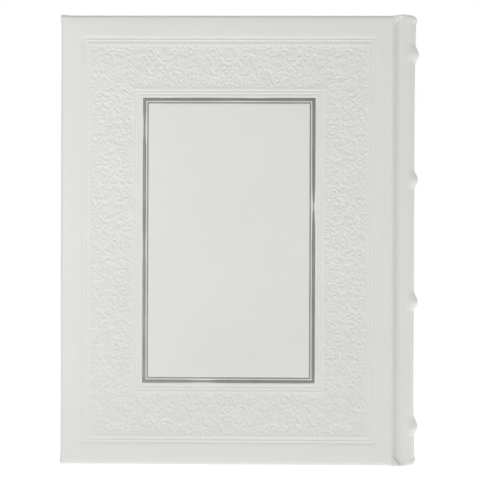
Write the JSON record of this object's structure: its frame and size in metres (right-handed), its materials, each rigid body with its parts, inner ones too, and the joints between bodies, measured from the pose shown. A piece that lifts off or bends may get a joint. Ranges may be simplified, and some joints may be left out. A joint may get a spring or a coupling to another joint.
{
  "type": "prayer book",
  "caption": "White leather prayer book with raised spine bands, blind-tooled border and silver foil frame, standing closed on its tail, with opening covers and pages.",
  "frame": {"origin": "under the middle of the closed book, on the surface that it stands on", "axes": "+Z from tail to head, +X from the fore-edge to the spine, -Y out of the front cover"},
  "size_m": [0.1676, 0.0396, 0.2103],
  "materials": {
    "white_leather": "smooth, semi-matt, blind tooled",
    "page_paper": "thin matt book paper, cut edges",
    "endpaper": "matt laid paper",
    "binder_board": "dense grey-brown board",
    "binding_cloth": "open cotton weave",
    "headband_silk": "worked silk over a core",
    "silver_foil": "hot-stamped silver foil, satin"
  },
  "bodies": {
    "back_half": {"gathering_09": "page_paper", "gathering_10": "page_paper", "gathering_11": "page_paper", "gathering_12": "page_paper", "gathering_13": "page_paper", "gathering_14": "page_paper", "gathering_15": "page_paper", "gathering_16": "page_paper", "spine_leather": "white_leather", "spine_liner": "binder_board", "spine_mull": "binding_cloth", "sewing_tape_1": "binding_cloth", "sewing_tape_2": "binding_cloth", "sewing_tape_3": "binding_cloth", "band_core_1": "binder_board", "band_core_2": "binder_board", "band_core_3": "binder_board", "band_core_4": "binder_board", "headband": "headband_silk", "tailband": "headband_silk"},
    "front_half": {"gathering_01": "page_paper", "gathering_02": "page_paper", "gathering_03": "page_paper", "gathering_04": "page_paper", "gathering_05": "page_paper", "gathering_06": "page_paper", "gathering_07": "page_paper", "gathering_08": "page_paper"},
    "first_centre_leaf": {"centre_leaf_1": "page_paper"},
    "second_centre_leaf": {"centre_leaf_2": "page_paper"},
    "front_cover": {"front_leather": "white_leather", "front_board": "binder_board", "front_infill_card": "binder_board", "front_mull_flange": "binding_cloth", "front_pastedown": "endpaper", "front_foil_heavy_line": "silver_foil", "front_foil_fine_line": "silver_foil", "front_joint_leather": "white_leather"},
    "back_cover": {"back_leather": "white_leather", "back_board": "binder_board", "back_infill_card": "binder_board", "back_mull_flange": "binding_cloth", "back_pastedown": "endpaper", "back_foil_heavy_line": "silver_foil", "back_foil_fine_line": "silver_foil", "back_joint_leather": "white_leather"},
    "front_endleaf": {"front_flyleaf": "endpaper"},
    "back_endleaf": {"back_flyleaf": "endpaper"}
  },
  "joints": [
    {"name": "middle_opening", "type": "hinge", "parent": "back_half", "child": "front_half", "pos_m": [0.07992, 0, 0.1048], "axis": [0, 0, 1], "range_deg": [0, 110], "deforming": ["spine_leather", "spine_liner", "spine_mull", "sewing_tape_1", "sewing_tape_2", "sewing_tape_3", "band_core_1", "band_core_2", "band_core_3", "band_core_4", "headband", "tailband"]},
    {"name": "first_leaf_turn", "type": "hinge", "parent": "back_half", "child": "first_centre_leaf", "pos_m": [0.07992, 0, 0.1048], "axis": [0, 0, 1], "range_deg": [0, 72]},
    {"name": "second_leaf_turn", "type": "hinge", "parent": "back_half", "child": "second_centre_leaf", "pos_m": [0.07992, 0, 0.1048], "axis": [0, 0, 1], "range_deg": [0, 36]},
    {"name": "front_cover_hinge", "type": "hinge", "parent": "front_half", "child": "front_cover", "pos_m": [0.07283, -0.01803, 0.1048], "axis": [0, 0, 1], "range_deg": [0, 125], "deforming": ["front_joint_leather"]},
    {"name": "front_flyleaf_turn", "type": "hinge", "parent": "front_half", "child": "front_endleaf", "pos_m": [0.07053, -0.01555, 0.1048], "axis": [0, 0, 1], "range_deg": [0, 57]},
    {"name": "back_cover_hinge", "type": "hinge", "parent": "back_half", "child": "back_cover", "pos_m": [0.07283, 0.01803, 0.1048], "axis": [0, 0, -1], "range_deg": [0, 125], "deforming": ["back_joint_leather"]},
    {"name": "back_flyleaf_turn", "type": "hinge", "parent": "back_half", "child": "back_endleaf", "pos_m": [0.07053, 0.01555, 0.1048], "axis": [0, 0, -1], "range_deg": [0, 57]}
  ],
  "couplings": [
    {"joint": "first_leaf_turn", "follows": "middle_opening", "ratio": 0.65},
    {"joint": "second_leaf_turn", "follows": "middle_opening", "ratio": 0.32},
    {"joint": "front_flyleaf_turn", "follows": "front_cover_hinge", "ratio": 0.45},
    {"joint": "back_flyleaf_turn", "follows": "back_cover_hinge", "ratio": 0.45}
  ]
}
